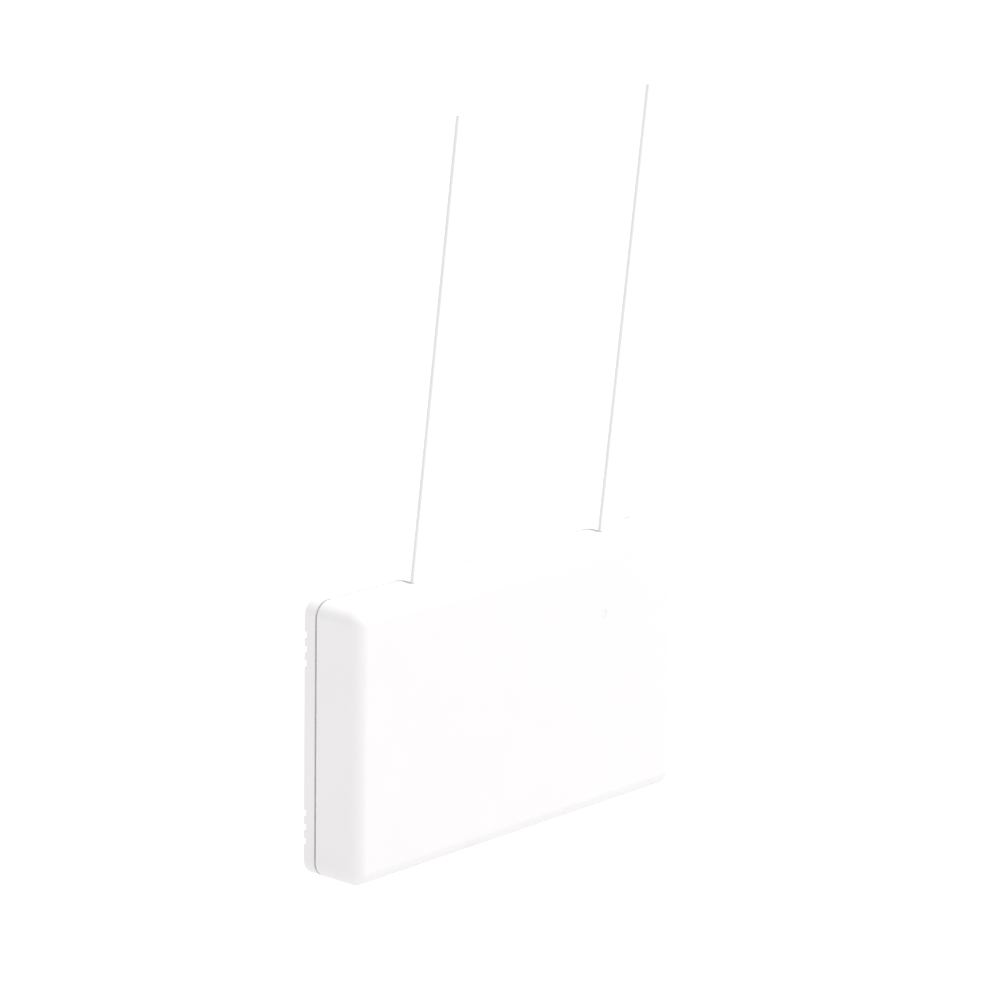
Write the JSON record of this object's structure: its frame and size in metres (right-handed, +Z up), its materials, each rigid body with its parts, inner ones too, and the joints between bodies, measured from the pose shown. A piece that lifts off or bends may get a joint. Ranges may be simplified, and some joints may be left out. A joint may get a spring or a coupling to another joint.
{
  "type": "wireless receiver with wire antennas",
  "caption": "Flat wall-mounted wireless receiver: a rounded white two-piece housing with a circuit board inside and two thin straight wire antennas standing out of its top edge.",
  "frame": {"origin": "centre of the face that rests on the wall", "axes": "+X to the right seen from the front, +Y into the wall, +Z up along the antennas"},
  "size_m": [0.164, 0.024, 0.2519],
  "materials": {
    "cover_plastic": "fine matt white moulding",
    "base_plastic": "fine matt white moulding, slightly warmer",
    "light_pipe": "frosted clear moulding",
    "board_laminate": "green solder mask over glass laminate",
    "steel": "bright plated",
    "wire_insulation": "smooth white insulation",
    "copper": "bare copper",
    "terminal_plastic": "satin green moulding",
    "tinned_steel": "tin plated, satin",
    "black_plastic": "matt black moulding",
    "cream_plastic": "satin cream moulding",
    "switch_red": "satin red moulding",
    "slider_white": "satin white moulding",
    "jumper_blue": "satin blue moulding",
    "capacitor_sleeve": "shrunk plastic sleeve",
    "led_lens": "tinted lens"
  },
  "bodies": {
    "housing": {"rear_base": "base_plastic", "circuit_board": "board_laminate", "board_screw_1": "steel", "board_screw_2": "steel", "board_screw_3": "steel", "board_screw_4": "steel", "antenna_sheath_left": "wire_insulation", "antenna_core_left": "copper", "antenna_terminal_left": "terminal_plastic", "antenna_clamp_screw_left": "steel", "receiver_board_left": "board_laminate", "receiver_shield_left": "tinned_steel", "antenna_sheath_right": "wire_insulation", "antenna_core_right": "copper", "antenna_terminal_right": "terminal_plastic", "antenna_clamp_screw_right": "steel", "receiver_board_right": "board_laminate", "receiver_shield_right": "tinned_steel", "terminal_block": "terminal_plastic", "terminal_screw_1": "steel", "terminal_screw_2": "steel", "terminal_screw_3": "steel", "terminal_screw_4": "steel", "terminal_screw_5": "steel", "terminal_screw_6": "steel", "tamper_switch_body": "black_plastic", "tamper_spring": "steel", "learn_button_body": "black_plastic", "dip_switch_body": "switch_red", "pin_header": "black_plastic", "microcontroller": "black_plastic", "crystal": "tinned_steel", "voltage_regulator": "black_plastic", "capacitor_large": "capacitor_sleeve", "capacitor_small": "capacitor_sleeve", "relay_1": "cream_plastic", "relay_2": "cream_plastic", "status_led": "led_lens"},
    "cover": {"front_cover": "cover_plastic", "light_pipe": "light_pipe"},
    "tamper_plunger": {"tamper_plunger": "cream_plastic"},
    "learn_button": {"learn_button_cap": "black_plastic"},
    "jumper": {"jumper_cap": "jumper_blue"},
    "dip_slider_1": {"dip_slider_1": "slider_white"},
    "dip_slider_2": {"dip_slider_2": "slider_white"},
    "dip_slider_3": {"dip_slider_3": "slider_white"},
    "dip_slider_4": {"dip_slider_4": "slider_white"}
  },
  "joints": [
    {"name": "cover_slide", "type": "slide", "parent": "housing", "child": "cover", "axis": [0, -1, 0], "range_m": [0, 0.06]},
    {"name": "tamper_plunger_slide", "type": "slide", "parent": "housing", "child": "tamper_plunger", "axis": [0, -1, 0], "range_m": [0, 0.0016], "deforming": ["tamper_spring"]},
    {"name": "learn_button_press", "type": "slide", "parent": "housing", "child": "learn_button", "axis": [0, 1, 0], "range_m": [0, 0.0003], "stiffness_N_per_m": 2000},
    {"name": "jumper_pull", "type": "slide", "parent": "housing", "child": "jumper", "axis": [0, -1, 0], "range_m": [0, 0.004]},
    {"name": "dip_slider_1_slide", "type": "slide", "parent": "housing", "child": "dip_slider_1", "axis": [0, 0, 1], "range_m": [0, 0.0012]},
    {"name": "dip_slider_2_slide", "type": "slide", "parent": "housing", "child": "dip_slider_2", "axis": [0, 0, 1], "range_m": [0, 0.0012]},
    {"name": "dip_slider_3_slide", "type": "slide", "parent": "housing", "child": "dip_slider_3", "axis": [0, 0, 1], "range_m": [0, 0.0012]},
    {"name": "dip_slider_4_slide", "type": "slide", "parent": "housing", "child": "dip_slider_4", "axis": [0, 0, 1], "range_m": [0, 0.0012]}
  ],
  "couplings": [
    {"joint": "tamper_plunger_slide", "follows": "cover_slide", "ratio": 0.0266}
  ]
}
